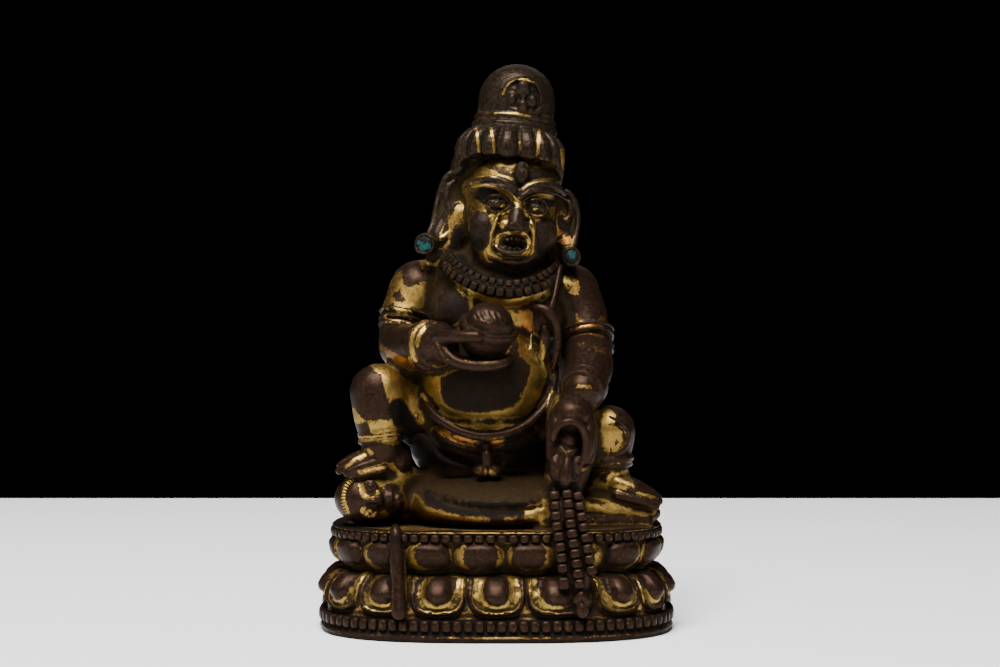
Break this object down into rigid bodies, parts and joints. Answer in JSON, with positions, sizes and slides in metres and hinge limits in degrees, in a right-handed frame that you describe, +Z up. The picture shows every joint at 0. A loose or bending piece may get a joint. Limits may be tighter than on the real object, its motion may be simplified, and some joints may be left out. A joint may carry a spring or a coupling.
{
  "type": "gilt bronze deity figure",
  "caption": "Seated pot-bellied guardian deity cast in one with its lotus base, holding a bowl and a jewel-spitting mongoose; parcel gilt, with turquoise in the ear ornaments.",
  "frame": {"origin": "middle of the flat underside of the base", "axes": "+Z up, the figure faces -Y, so +X is the viewer's right and the figure's own left"},
  "size_m": [0.0726, 0.051, 0.1157],
  "materials": {
    "gilt_bronze": "worn fire gilding over dark brown patina",
    "turquoise": "polished opaque stone with dark veins"
  },
  "bodies": {
    "root": {"gilt_bronze_casting": "gilt_bronze", "turquoise_right": "turquoise", "turquoise_left": "turquoise"}
  },
  "joints": []
}
